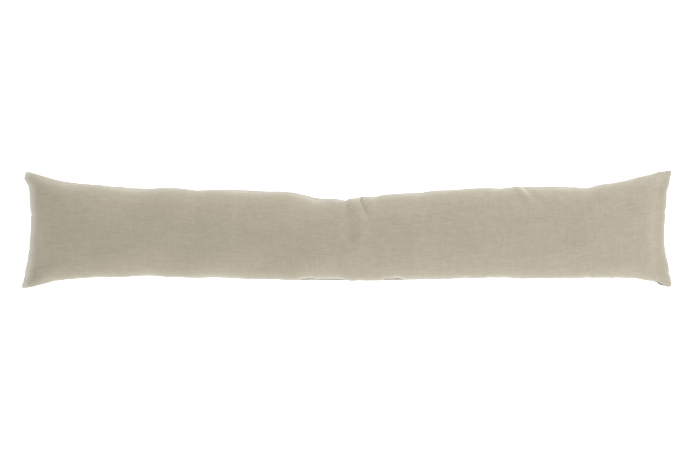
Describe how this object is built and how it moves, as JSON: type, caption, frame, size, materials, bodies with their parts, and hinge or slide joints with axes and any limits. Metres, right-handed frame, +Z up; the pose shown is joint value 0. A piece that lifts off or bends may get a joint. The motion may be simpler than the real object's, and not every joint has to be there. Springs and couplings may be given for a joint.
{
  "type": "draught excluder",
  "caption": "Long filled linen cushion laid along the foot of a door to stop draughts, with drawn-in ends and small corner ears.",
  "frame": {"origin": "on the floor, in the middle of the cushion's footprint", "axes": "+X along the length, to the right in the picture; +Y across the width, up in the picture; +Z up through the thickness, out of the front strip"},
  "size_m": [0.9006, 0.165, 0.0787],
  "materials": {
    "linen": "plain woven undyed linen, matt"
  },
  "bodies": {
    "root": {"cushion": "linen"}
  },
  "joints": []
}
